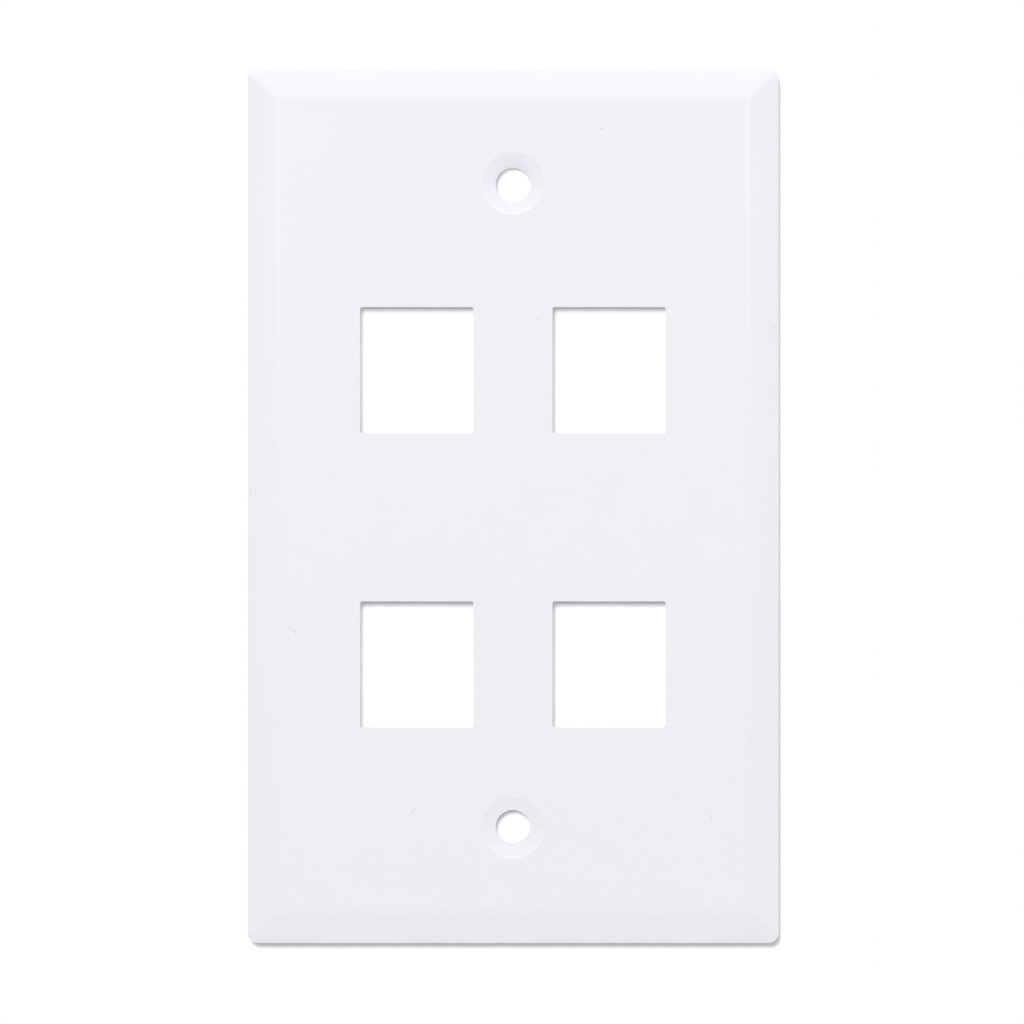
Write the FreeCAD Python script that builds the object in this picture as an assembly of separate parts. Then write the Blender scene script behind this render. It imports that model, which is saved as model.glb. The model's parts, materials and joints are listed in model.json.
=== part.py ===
"""Four-port keystone wall plate, one injection-moulded piece.

Millimetres. X is across the plate, Z is up and +Y goes into the wall. The back rim
lies on the wall at Y = 0, the front face looks along -Y, and the origin is on the
wall plane, midway between the two screw holes.
"""

import FreeCAD, Part

import math
import os

# ---- plate body -------------------------------------------------------------------
plate_width = 69.0
plate_height = 113.5
plate_depth = 5.6  # wall plane to front face
front_wall = 2.0  # thickness of the flat front
rim_wall = 2.0  # thickness of the rim where it meets the wall
bevel_run = 4.1  # outer edge to the line where the bevel would meet the face
crest_angle = 24.0  # slope of the bevel next to the face, in degrees
bevel_crown = 24.0  # how much steeper the bevel is at its outer end, in degrees
shoulder_radius = 2.0  # bevel into the straight side
corner_radius = 1.3  # plate corners and the mitres that run up from them
crest_radius = 1.9  # bevel into the front face
pocket_shoulder_radius = 1.0  # the same two radii in the hollow back
pocket_corner_radius = 0.6

# ---- screw holes: No. 6 screws at the standard spacing of a wall box ---------------
screw_spacing = 83.34
screw_hole_diameter = 4.5
countersink_diameter = 8.1
countersink_angle = 82.0  # included angle of the screw head's cone, in degrees
boss_diameter = 9.0  # the boss reaches back to the wall plane

# ---- keystone ports: two columns and two rows --------------------------------------
columns = 2
rows = 2
column_pitch = 24.9
row_pitch = 38.1
jack_width = 14.5  # nose of the jack that shows at the front
jack_height = 16.2
jack_clearance = 0.15  # total, both ways
opening_corner_radius = 0.25
chamber_room = 0.4  # the chamber behind the front stands back this much at the sides and sill
gate_height = 19.4  # rear way in, between the lower and the upper ledge
lug_hook = 1.2  # height of the lower ledge, which the jack's fixed lug hooks under
latch_hook = 1.95  # height of the upper ledge, which the jack's latch snaps behind
ledge_thickness = 1.6
ledge_lead_in = 0.8  # chamfer that guides the latch over the upper ledge
frame_depth = 9.7  # front face to the rear of the port frames
frame_wall = 1.5
frame_corner_radius = 0.6

# ---- stiffening ribs on the back ----------------------------------------------------
rib_thickness = 1.2
rib_height = 2.0

# ---- marks of the mould's ejector pins, in the flat of the hollow back ---------------
ejector_diameter = 4.0
ejector_depth = 0.15

# ---- worked out from the values above ------------------------------------------------
opening_width = jack_width + jack_clearance
opening_height = jack_height + jack_clearance
chamber_width = opening_width + 2 * chamber_room
chamber_height = lug_hook + gate_height + latch_hook
face_y = -plate_depth
inner_face_y = face_y + front_wall
frame_rear_y = face_y + frame_depth
ledge_front_y = frame_rear_y - ledge_thickness
crest_shift = front_wall * math.tan(math.radians(crest_angle) / 2)
pocket_run = bevel_run + crest_shift - rim_wall  # the plate's own bevel, moved in by the wall
cut_past = 1.0  # how far a cutting tool runs past the surface it opens
same_place = 1e-4  # points nearer than this are the same
most_crest_to_corner = 1.5  # a crest rounding larger than this cannot turn the corner


def edge_profile(half, depth, run, shoulder, place):
    """Closed section of a bevelled block: flat back at 0, front at -depth.

    place(u, y) turns a point of the section into a point of the model. From the
    straight side the outline turns round the shoulder, climbs the slightly crowned
    bevel and ends at the crest, where it meets the flat front.
    """
    low = math.radians(crest_angle)
    high = math.radians(crest_angle + bevel_crown)
    crown_radius = (run - shoulder * (1 - math.sin(high))) / (math.sin(high) - math.sin(low))
    crest_u = half - run
    crown_u = crest_u - crown_radius * math.sin(low)
    crown_y = -depth + crown_radius * math.cos(low)
    shoulder_u = half - shoulder
    shoulder_y = crown_y - (crown_radius - shoulder) * math.cos(high)

    def on_crown(angle):
        return crown_u + crown_radius * math.sin(angle), crown_y - crown_radius * math.cos(angle)

    def on_shoulder(angle):
        return shoulder_u + shoulder * math.sin(angle), shoulder_y - shoulder * math.cos(angle)

    right = math.pi / 2
    crest = on_crown(low)
    crown_middle = on_crown((low + high) / 2)
    crown_end = on_crown(high)
    shoulder_middle = on_shoulder((high + right) / 2)
    shoulder_end = on_shoulder(right)

    outline = (shoulder_end, shoulder_middle, crown_end, crown_middle, crest)
    edges = [Part.LineSegment(place(-half, 0), place(half, 0))]
    edges.append(Part.LineSegment(place(-crest[0], crest[1]), place(*crest)))
    for side in (1, -1):
        points = [place(side * u, y) for u, y in outline]
        edges.append(Part.LineSegment(place(side * half, 0), points[0]))
        edges.append(Part.Arc(*points[0:3]))
        edges.append(Part.Arc(*points[2:5]))
    return Part.Wire(Part.__sortEdges__([edge.toShape() for edge in edges]))


def middle_of(edge):
    """Point halfway along an edge."""
    return edge.valueAt((edge.FirstParameter + edge.LastParameter) / 2)


def mitred_block(width, height, depth, run, shoulder, corner):
    """Block whose front has the same bevel on all four sides, mitred and softened."""

    def across(u, y):
        return FreeCAD.Vector(u, y, -height / 2)

    def upright(u, y):
        return FreeCAD.Vector(-width / 2, y, u)

    level_section = Part.Face(edge_profile(width / 2, depth, run, shoulder, across))
    upright_section = Part.Face(edge_profile(height / 2, depth, run, shoulder, upright))
    tall = level_section.extrude(FreeCAD.Vector(0, 0, height))
    wide = upright_section.extrude(FreeCAD.Vector(width, 0, 0))
    block = tall.common(wide).Solids[0]
    mitres = []
    for edge in block.Edges:
        middle = middle_of(edge)
        from_side = width / 2 - abs(middle.x)
        from_end = height / 2 - abs(middle.z)
        if abs(from_side - from_end) < same_place:
            mitres.append(edge)
    return block.makeFillet(corner, mitres).Solids[0]


def round_crest(block, depth, radius):
    """Rounds the edge all round the flat front of a mitred block."""
    crest = []
    for edge in block.Edges:
        points = [middle_of(edge)] + [vertex.Point for vertex in edge.Vertexes]
        if all(abs(point.y + depth) < same_place for point in points):
            crest.append(edge)
    return block.makeFillet(radius, crest).Solids[0]


def box(x_span, y_span, z_span):
    """Box between two values along each axis."""
    corner = FreeCAD.Vector(x_span[0], y_span[0], z_span[0])
    return Part.makeBox(
        x_span[1] - x_span[0], y_span[1] - y_span[0], z_span[1] - z_span[0], corner
    )


def rounded_along_y(block, radius):
    """Rounds the edges of a box that run along Y."""
    edges = []
    for edge in block.Edges:
        first, last = [vertex.Point for vertex in edge.Vertexes]
        if abs(first.x - last.x) < same_place and abs(first.z - last.z) < same_place:
            edges.append(edge)
    return block.makeFillet(radius, edges)


def plate_shell():
    """The hollow plate: bevelled outside, and a pocket that follows it inside."""
    outside = mitred_block(
        plate_width, plate_height, plate_depth, bevel_run, shoulder_radius, corner_radius
    )
    outside = round_crest(
        outside, plate_depth, min(crest_radius, most_crest_to_corner * corner_radius)
    )
    pocket = mitred_block(
        plate_width - 2 * rim_wall,
        plate_height - 2 * rim_wall,
        plate_depth - front_wall,
        pocket_run,
        pocket_shoulder_radius,
        pocket_corner_radius,
    )
    return outside, outside.cut(pocket)


def port_centres():
    """Centre of each port frame, from the top row down and from left to right."""
    centres = []
    for row in range(rows):
        for column in range(columns):
            x = (column - (columns - 1) / 2) * column_pitch
            z = ((rows - 1) / 2 - row) * row_pitch
            centres.append((x, z))
    return centres


def port_frame(x, z):
    """Block behind one port, which the chamber leaves as four walls and two ledges."""
    half_width = chamber_width / 2 + frame_wall
    half_height = chamber_height / 2 + frame_wall
    frame = box(
        (x - half_width, x + half_width),
        (inner_face_y - front_wall / 2, frame_rear_y),
        (z - half_height, z + half_height),
    )
    return rounded_along_y(frame, frame_corner_radius)


def port_cavity(x, z):
    """What the jack takes up: its nose in the front, and the chamber with its two ledges."""
    floor = z - chamber_height / 2
    lower_ledge = floor + lug_hook
    upper_ledge = lower_ledge + gate_height
    ceiling = upper_ledge + latch_hook
    sill = lower_ledge + chamber_room
    rear = frame_rear_y + cut_past
    side_view = [
        (inner_face_y, floor),
        (ledge_front_y, floor),
        (ledge_front_y, lower_ledge),
        (rear, lower_ledge),
        (rear, upper_ledge + ledge_lead_in),
        (frame_rear_y, upper_ledge + ledge_lead_in),
        (frame_rear_y - ledge_lead_in, upper_ledge),
        (ledge_front_y, upper_ledge),
        (ledge_front_y, ceiling),
        (inner_face_y, ceiling),
    ]
    points = [FreeCAD.Vector(x - chamber_width / 2, y, height) for y, height in side_view]
    section = Part.Face(Part.makePolygon(points + points[:1]))
    chamber = section.extrude(FreeCAD.Vector(chamber_width, 0, 0))
    nose = box(
        (x - opening_width / 2, x + opening_width / 2),
        (face_y - cut_past, ledge_front_y),
        (sill, sill + opening_height),
    )
    return rounded_along_y(nose, opening_corner_radius).fuse(chamber)


def screw_heights():
    """Heights of the two screw holes."""
    return (screw_spacing / 2, -screw_spacing / 2)


def screw_boss(z):
    """Round pillar that the screw pulls against the wall."""
    start = FreeCAD.Vector(0, inner_face_y - front_wall / 2, z)
    return Part.makeCylinder(boss_diameter / 2, -start.y, start, FreeCAD.Vector(0, 1, 0))


def screw_hole(z):
    """Through hole with a cone for the screw's oval head."""
    into_wall = FreeCAD.Vector(0, 1, 0)
    hole_radius = screw_hole_diameter / 2
    cone_radius = countersink_diameter / 2
    slope = math.tan(math.radians(countersink_angle) / 2)
    depth = (cone_radius - hole_radius) / slope
    start = FreeCAD.Vector(0, face_y - cut_past, z)
    hole = Part.makeCylinder(hole_radius, plate_depth + 2 * cut_past, start, into_wall)
    cone = Part.makeCone(
        cone_radius + cut_past * slope, hole_radius, depth + cut_past, start, into_wall
    )
    return hole.fuse(cone)


def ribs():
    """Cross of thin ribs: upright from boss to boss, level from rim to rim."""
    half = rib_thickness / 2
    spans_y = (inner_face_y - front_wall / 2, inner_face_y + rib_height)
    top, bottom = screw_heights()
    side = plate_width / 2 - rim_wall / 2
    upright = box((-half, half), spans_y, (bottom, top))
    level = box((-side, side), spans_y, (-half, half))
    return [upright, level]


def ejector_marks():
    """Shallow discs that the ejector pins press into the flat of the back.

    One stands on each side of every row of ports, and two on each side of a screw boss.
    """
    frame_side = port_centres()[-1][0] + chamber_width / 2 + frame_wall
    pocket_side = plate_width / 2 - rim_wall - pocket_run
    outer = (frame_side + pocket_side) / 2
    by_rows = [(outer, z) for z in sorted({z for _, z in port_centres()})]
    by_bosses = [(x, z) for x in (column_pitch / 2, outer) for z in screw_heights()]
    marks = []
    for x, z in by_rows + by_bosses:
        for side in (-x, x):
            start = FreeCAD.Vector(side, inner_face_y - ejector_depth, z)
            marks.append(
                Part.makeCylinder(
                    ejector_diameter / 2, ejector_depth, start, FreeCAD.Vector(0, 1, 0)
                )
            )
    return marks


def faceplate():
    """The whole moulding."""
    outside, shell = plate_shell()
    bosses = [screw_boss(z) for z in screw_heights()]
    stiffening = [piece.common(outside) for piece in ribs() + bosses]
    frames = [port_frame(x, z) for x, z in port_centres()]
    solid = shell.multiFuse(stiffening + frames)
    cavities = [port_cavity(x, z) for x, z in port_centres()]
    holes = [screw_hole(z) for z in screw_heights()]
    return solid.cut(cavities + holes + ejector_marks()).removeSplitter()


os.makedirs("parts", exist_ok=True)
plate = faceplate()
print("solids", len(plate.Solids), "valid", plate.isValid(), "volume", round(plate.Volume, 1))
plate.Solids[0].exportStep("parts/faceplate.step")
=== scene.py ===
"""Four-port keystone wall plate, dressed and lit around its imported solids.

Metres, in the part's own frame: X across the plate, Z up, +Y into the wall. The back
rim lies at Y = 0 and the front face looks along -Y.
"""

import json
import math

import bpy
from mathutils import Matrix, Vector


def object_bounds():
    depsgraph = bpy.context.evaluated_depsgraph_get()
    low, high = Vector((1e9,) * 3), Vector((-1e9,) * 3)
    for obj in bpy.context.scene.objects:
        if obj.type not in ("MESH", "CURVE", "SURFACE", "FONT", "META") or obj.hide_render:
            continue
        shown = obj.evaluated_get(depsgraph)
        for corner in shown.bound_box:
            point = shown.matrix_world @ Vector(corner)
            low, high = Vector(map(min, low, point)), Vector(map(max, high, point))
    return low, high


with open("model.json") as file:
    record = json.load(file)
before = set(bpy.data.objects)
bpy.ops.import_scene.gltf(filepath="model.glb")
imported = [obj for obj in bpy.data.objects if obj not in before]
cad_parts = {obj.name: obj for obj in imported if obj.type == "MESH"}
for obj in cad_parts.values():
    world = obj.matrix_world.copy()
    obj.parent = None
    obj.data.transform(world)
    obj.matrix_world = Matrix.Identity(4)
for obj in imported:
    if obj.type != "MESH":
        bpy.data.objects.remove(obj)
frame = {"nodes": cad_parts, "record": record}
cad_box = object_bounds()
mm = 0.001


# ---- the plate ------------------------------------------------------------------------
# One injection moulding in white ABS: face, bevel, rim, port frames, ribs and bosses came
# out of the mould together. The mould's face was spark eroded very finely and then vapour
# blasted, which gives a soft satin with no visible grain at arm's length.

plate = frame["nodes"]["faceplate"]


def linear(hex_colour):
    """sRGB hex to the linear colour that a shader takes."""
    channels = []
    for start in (1, 3, 5):
        value = int(hex_colour[start : start + 2], 16) / 255
        channels.append(value / 12.92 if value <= 0.04045 else ((value + 0.055) / 1.055) ** 2.4)
    return (*channels, 1.0)


def add_node(tree, kind, settings=None, **sockets):
    """Adds a node. settings are its own properties. Each socket, given by name or as _ and its
    number, takes a value or another node's output."""
    node = tree.nodes.new(kind)
    for name, value in (settings or {}).items():
        setattr(node, name, value)
    for name, value in sockets.items():
        number = name[1:]
        socket = node.inputs[int(number) if number.isdigit() else name.replace("_", " ")]
        if isinstance(value, bpy.types.NodeSocket):
            tree.links.new(value, socket)
        else:
            socket.default_value = value
    return node


def new_material(name):
    """An empty node material and its tree."""
    material = bpy.data.materials.new(name)
    material.use_nodes = True
    material.node_tree.nodes.clear()
    return material, material.node_tree


# White ABS, injection moulded, satin: a cool white a shade off paper, with a soft broad
# highlight, a trace of unevenness where the melt cooled, and the odd fibre of dust.
abs_white = linear("#F3F2F7")
abs_cooled = linear("#F1F0F6")
dust_grey = linear("#DADADE")
cooling_patch = 9 * mm
spark_grain = 0.35 * mm  # really about 0.03 mm; drawn this coarse so that it shows close up
dust_spacing = 21 * mm
dust_share = 0.35  # of the places at that spacing, how many hold a fibre
dust_length = 1.6 * mm
dust_width = 0.11 * mm
dust_curl = 0.45 * mm
dust_wave = 1.1 * mm
front_facing = -0.6  # a surface whose normal's Y is below this faces the front
satin_smooth, satin_rough = 0.34, 0.40
skin_strength = 0.06
skin_depth = 0.02 * mm
abs_ior = 1.52

moulded_abs, tree = new_material("moulded_white_abs")
place = add_node(tree, "ShaderNodeTexCoord").outputs["Object"]

patches = add_node(
    tree, "ShaderNodeTexNoise", Vector=place, Scale=1 / cooling_patch, Detail=3.0, Roughness=0.6
)
clean_colour = add_node(
    tree,
    "ShaderNodeMix",
    {"data_type": "RGBA"},
    Factor=patches.outputs["Fac"],
    _6=abs_white,
    _7=abs_cooled,
)

# A fibre is the stretch near the middle of a cell, turned by the cell's own chance. Fibres
# settle on the front alone.
across, _, up = add_node(tree, "ShaderNodeSeparateXYZ", Vector=place).outputs
on_plate = add_node(tree, "ShaderNodeCombineXYZ", X=across, Y=up).outputs["Vector"]
cells = add_node(
    tree,
    "ShaderNodeTexVoronoi",
    {"voronoi_dimensions": "2D"},
    Vector=on_plate,
    Scale=1 / dust_spacing,
)
chance = add_node(tree, "ShaderNodeSeparateColor", Color=cells.outputs["Color"])
from_middle = add_node(
    tree,
    "ShaderNodeVectorMath",
    {"operation": "SUBTRACT"},
    _0=on_plate,
    _1=cells.outputs["Position"],
)
turn = add_node(
    tree, "ShaderNodeMath", {"operation": "MULTIPLY"}, _0=chance.outputs["Red"], _1=2 * math.pi
)
turned = add_node(
    tree,
    "ShaderNodeVectorRotate",
    {"rotation_type": "Z_AXIS"},
    Vector=from_middle.outputs["Vector"],
    Angle=turn.outputs["Value"],
)
along, aside, _ = add_node(tree, "ShaderNodeSeparateXYZ", Vector=turned.outputs["Vector"]).outputs
curl = add_node(tree, "ShaderNodeTexNoise", Vector=on_plate, Scale=1 / dust_wave, Detail=1.0)
curled = add_node(
    tree,
    "ShaderNodeMapRange",
    Value=curl.outputs["Fac"],
    To_Min=-dust_curl,
    To_Max=dust_curl,
)
off_line = add_node(
    tree, "ShaderNodeMath", {"operation": "ADD"}, _0=aside, _1=curled.outputs["Result"]
)
normal = add_node(tree, "ShaderNodeTexCoord").outputs["Normal"]
facing = add_node(tree, "ShaderNodeSeparateXYZ", Vector=normal).outputs["Y"]
in_front = add_node(
    tree, "ShaderNodeMath", {"operation": "LESS_THAN"}, _0=facing, _1=front_facing
)
held = add_node(
    tree, "ShaderNodeMath", {"operation": "LESS_THAN"}, _0=chance.outputs["Green"], _1=dust_share
)
fibre = add_node(
    tree,
    "ShaderNodeMath",
    {"operation": "MULTIPLY"},
    _0=in_front.outputs["Value"],
    _1=held.outputs["Value"],
).outputs["Value"]
for distance, limit in ((along, dust_length / 2), (off_line.outputs["Value"], dust_width)):
    size = add_node(tree, "ShaderNodeMath", {"operation": "ABSOLUTE"}, _0=distance)
    within = add_node(
        tree,
        "ShaderNodeMapRange",
        {"interpolation_type": "SMOOTHSTEP"},
        Value=size.outputs["Value"],
        From_Max=limit,
        To_Min=1.0,
        To_Max=0.0,
    )
    fibre = add_node(
        tree, "ShaderNodeMath", {"operation": "MULTIPLY"}, _0=fibre, _1=within.outputs["Result"]
    ).outputs["Value"]
body_colour = add_node(
    tree,
    "ShaderNodeMix",
    {"data_type": "RGBA"},
    Factor=fibre,
    _6=clean_colour.outputs[2],
    _7=dust_grey,
)

grain = add_node(
    tree, "ShaderNodeTexNoise", Vector=place, Scale=1 / spark_grain, Detail=2.0, Roughness=0.5
)
roughness = add_node(
    tree,
    "ShaderNodeMapRange",
    Value=patches.outputs["Fac"],
    To_Min=satin_smooth,
    To_Max=satin_rough,
)
skin = add_node(
    tree,
    "ShaderNodeBump",
    Strength=skin_strength,
    Distance=skin_depth,
    Height=grain.outputs["Fac"],
)
shader = add_node(
    tree,
    "ShaderNodeBsdfPrincipled",
    Base_Color=body_colour.outputs[2],
    Roughness=roughness.outputs["Result"],
    IOR=abs_ior,
    Normal=skin.outputs["Normal"],
)
add_node(tree, "ShaderNodeOutputMaterial", Surface=shader.outputs["BSDF"])
plate.material_slots[0].material = moulded_abs


# ---- the floor ------------------------------------------------------------------------
# A pale matt board under the plate, a little below its lower edge. It keeps the plate's
# shadow, and the camera sees what is not in shadow as white.

low, high = cad_box
floor_drop = 45 * mm
floor_half = 450 * mm
floor_glow = 0.25


def flat_sheet(name, corners):
    """A single flat face, for a floor or a backdrop."""
    mesh = bpy.data.meshes.new(name)
    mesh.from_pydata(corners, [], [range(len(corners))])
    sheet = bpy.data.objects.new(name, mesh)
    bpy.context.scene.collection.objects.link(sheet)
    return sheet


floor_z = low.z - floor_drop
floor = flat_sheet(
    "floor",
    [
        (-floor_half, -floor_half, floor_z),
        (floor_half, -floor_half, floor_z),
        (floor_half, floor_half, floor_z),
        (-floor_half, floor_half, floor_z),
    ],
)
matt_board, tree = new_material("matt_white_board")
rays = add_node(tree, "ShaderNodeLightPath")
board = add_node(tree, "ShaderNodeBsdfDiffuse", Color=linear("#F4F4F4"))
glow = add_node(tree, "ShaderNodeEmission", Color=linear("#FFFFFF"), Strength=floor_glow)
seen = add_node(tree, "ShaderNodeAddShader", _0=board.outputs["BSDF"], _1=glow.outputs["Emission"])
shown = add_node(
    tree,
    "ShaderNodeMixShader",
    _0=rays.outputs["Is Camera Ray"],
    _1=board.outputs["BSDF"],
    _2=seen.outputs["Shader"],
)
add_node(tree, "ShaderNodeOutputMaterial", Surface=shown.outputs["Shader"])
floor.data.materials.append(matt_board)


# ---- the backdrop ---------------------------------------------------------------------
# White card. One piece lies against the back rim, with an opening like a wall box's, and
# takes the plate's short shadow. A small one stands behind each port and screw hole. Only the
# camera sees them, and from the front alone, so they never shade, light or hide the plate.

wall_gap = 0.2 * mm
card_margin = 12 * mm
box_half_width = 28 * mm
box_half_height = 46 * mm


def white_card(name, shade):
    """Matt white card that shows its front alone."""
    material, tree = new_material(name)
    facing = add_node(tree, "ShaderNodeNewGeometry")
    paper = add_node(tree, "ShaderNodeBsdfDiffuse", Color=linear(shade))
    clear = add_node(tree, "ShaderNodeBsdfTransparent")
    one_sided = add_node(
        tree,
        "ShaderNodeMixShader",
        _0=facing.outputs["Backfacing"],
        _1=paper.outputs["BSDF"],
        _2=clear.outputs["BSDF"],
    )
    add_node(tree, "ShaderNodeOutputMaterial", Surface=one_sided.outputs["Shader"])
    return material


def upright_card(name, y, left, right, bottom, top, material):
    """A sheet of card that faces the camera, seen by the camera alone."""
    corners = [(left, y, bottom), (right, y, bottom), (right, y, top), (left, y, top)]
    card = flat_sheet(name, corners)
    card.data.materials.append(material)
    for ray in ("visible_diffuse", "visible_glossy", "visible_transmission", "visible_shadow"):
        setattr(card, ray, False)
    return card


wall_card = white_card("wall_card", "#C6C6C6")
wall_left, wall_right = low.x - card_margin, high.x + card_margin
wall_bottom, wall_top = low.z - card_margin, high.z + card_margin
wall_sheets = [
    upright_card("wall_" + side, wall_gap, *edges, wall_card)
    for side, edges in (
        ("left", (wall_left, -box_half_width, wall_bottom, wall_top)),
        ("right", (box_half_width, wall_right, wall_bottom, wall_top)),
        ("lower", (-box_half_width, box_half_width, wall_bottom, -box_half_height)),
        ("upper", (-box_half_width, box_half_width, box_half_height, wall_top)),
    )
]

back_gap = 0.4 * mm
port_frame_width, port_frame_height = 18.45 * mm, 25.55 * mm
port_frame_rise = 1.5 * mm  # how far its middle is above its opening's, which the mount gives
hole_margin = 0.65 * mm
mounts = {mount["name"]: mount for mount in frame["record"]["mounts"]}
screws = mounts["screw_holes"]["dims"]
hole_spacing = screws["spacing_y_mm"] * mm
hole_backing = 2 * (screws["hole_r_mm"] * mm + hole_margin)
backed = [
    (name, 0, end * hole_spacing / 2, hole_backing, hole_backing)
    for name, end in (("upper_hole", 1), ("lower_hole", -1))
]
for name, mount in mounts.items():
    if name.startswith("port_"):
        x, _, z = mount["pos_m"]
        backed.append((name, x, z + port_frame_rise, port_frame_width, port_frame_height))
back_card = white_card("back_card", "#CDCDCD")
back_sheets = [
    upright_card(
        "back_of_" + name,
        high.y + back_gap,
        x - width / 2,
        x + width / 2,
        z - height / 2,
        z + height / 2,
        back_card,
    )
    for name, x, z, width, height in backed
]


# ---- the light ------------------------------------------------------------------------
# A white tent, evenly bright. A big soft box high above lights the upper slope more than the
# face, two more stand far out at the sides, and a little cool light comes back from below.
# Small ones near the plate give the crest of its bevel a soft highlight.

tent = bpy.data.worlds.new("white_tent")
tent.use_nodes = True
tree = tent.node_tree
tree.nodes.clear()
tent_level = 0.85
rays = add_node(tree, "ShaderNodeLightPath")
seen = add_node(
    tree,
    "ShaderNodeMath",
    {"operation": "MAXIMUM"},
    _0=rays.outputs["Is Camera Ray"],
    _1=rays.outputs["Is Transmission Ray"],
)
seen_or_mirrored = add_node(
    tree,
    "ShaderNodeMath",
    {"operation": "MAXIMUM"},
    _0=seen.outputs["Value"],
    _1=rays.outputs["Is Glossy Ray"],
)
strength = add_node(
    tree,
    "ShaderNodeMix",
    Factor=seen_or_mirrored.outputs["Value"],
    A=tent_level,
    B=1.0,
)
sky = add_node(
    tree, "ShaderNodeBackground", Color=linear("#FFFFFF"), Strength=strength.outputs["Result"]
)
add_node(tree, "ShaderNodeOutputWorld", Surface=sky.outputs["Background"])
bpy.context.scene.world = tent


def soft_box(name, place, aim, size, watts, mirrored=True, colour="#FFFFFF"):
    """A square area lamp at place that points at aim. The camera does not see it, and
    reflections show it only where it is mirrored."""
    light = bpy.data.lights.new(name, "AREA")
    light.size = size
    light.energy = watts
    light.color = linear(colour)[:3]
    lamp = bpy.data.objects.new(name, light)
    lamp.location = place
    lamp.rotation_euler = (Vector(aim) - Vector(place)).to_track_quat("-Z", "Y").to_euler()
    lamp.visible_camera = False
    lamp.visible_glossy = mirrored
    bpy.context.scene.collection.objects.link(lamp)
    return lamp


middle = (low + high) / 2
key_place = Vector((0, -170 * mm, 628 * mm))
far_place = Vector((628 * mm, -168 * mm, 11 * mm))
near_place = Vector((85 * mm, -125 * mm, 60 * mm))
near_size = 40 * mm


def on_the_left(place):
    """The same place on the other side of the plate."""
    return Vector((-place.x, place.y, place.z))


soft_box("key_above", key_place, middle, 400 * mm, 0.80, mirrored=False)
soft_box("far_left", on_the_left(far_place), middle, 150 * mm, 0.125, mirrored=False)
soft_box("far_right", far_place, middle, 150 * mm, 0.105, mirrored=False)
soft_box("near_left", on_the_left(near_place), middle, near_size, 0.0085)
soft_box("near_right", near_place, middle, near_size, 0.0080)

# Two that reflections alone show make the highlight stronger and leave the face as it is.
left_glint = soft_box("left_glint", on_the_left(near_place), middle, near_size, 0.0130)
right_glint = soft_box("right_glint", near_place, middle, near_size, 0.0090)
left_glint.visible_diffuse = right_glint.visible_diffuse = False

bounce_length, bounce_width = 80 * mm, 16 * mm
under = Vector((0, -8 * mm, floor_z + 5 * mm))
cool_bounce = soft_box(
    "cool_bounce",
    under,
    under + Vector((0, 0, 100 * mm)),
    bounce_length,
    0.0010,
    mirrored=False,
    colour="#30FFF0",
)
cool_bounce.data.shape = "RECTANGLE"
cool_bounce.data.size_y = bounce_width

# What is behind a screw hole is bright too. A disc of light at the bottom of each
# countersink stands for it. The upper one leans down, as its lower side is the brighter.
glow_diameter = 4.4 * mm
glow_depth = 2.3 * mm  # behind the face
glow_watts = 3.8e-5
for name, end, lean in (("upper_hole_glow", 1, 36 * mm), ("lower_hole_glow", -1, 0)):
    at = Vector((0, low.y + glow_depth, end * hole_spacing / 2))
    ahead = at - Vector((0, 100 * mm, lean))
    glow = soft_box(name, at, ahead, glow_diameter, glow_watts, mirrored=False)
    glow.data.shape = "DISK"


# ---- the camera -----------------------------------------------------------------------
# Straight in front of the plate, a metre from the face and within a millimetre of its
# middle, with a lens long enough to fill the frame.

view_distance = 1000 * mm
off_middle_x, off_middle_z = -0.12 * mm, -0.82 * mm
lens_length = 271.85
camera_data = bpy.data.cameras.new("camera")
camera_data.sensor_width = 36.0
camera_data.lens = lens_length
camera_data.clip_start = 10 * mm
camera_data.clip_end = 10.0
camera = bpy.data.objects.new("camera", camera_data)
camera.location = (off_middle_x, low.y - view_distance, off_middle_z)
camera.rotation_euler = (math.radians(90), 0, 0)
bpy.context.scene.collection.objects.link(camera)
bpy.context.scene.camera = camera


# ---- the shadows' lamps ---------------------------------------------------------------
# Each sheet of card has a lamp of its own, above and to the left of the camera, which lights
# nothing else. It clears the card to white and leaves a short shadow below and to the right
# of each edge. The lamp for the small cards is small and close to the camera.


def light_only(lamp, sheets):
    """Keeps a lamp's light to the given sheets."""
    lit = bpy.data.collections.new("lit_by_" + lamp.name)
    for sheet in sheets:
        lit.objects.link(sheet)
    lamp.light_linking.receiver_collection = lit


wall_light = soft_box(
    "wall_light",
    camera.location + Vector((-185 * mm, 0, 345 * mm)),
    middle,
    380 * mm,
    22.0,
)
light_only(wall_light, wall_sheets)
back_light = soft_box(
    "back_light",
    camera.location + Vector((-33 * mm, 0, 60 * mm)),
    middle,
    80 * mm,
    12.5,
)
light_only(back_light, back_sheets)


# ---- view settings --------------------------------------------------------------------

bpy.context.scene.view_settings.view_transform = "Standard"
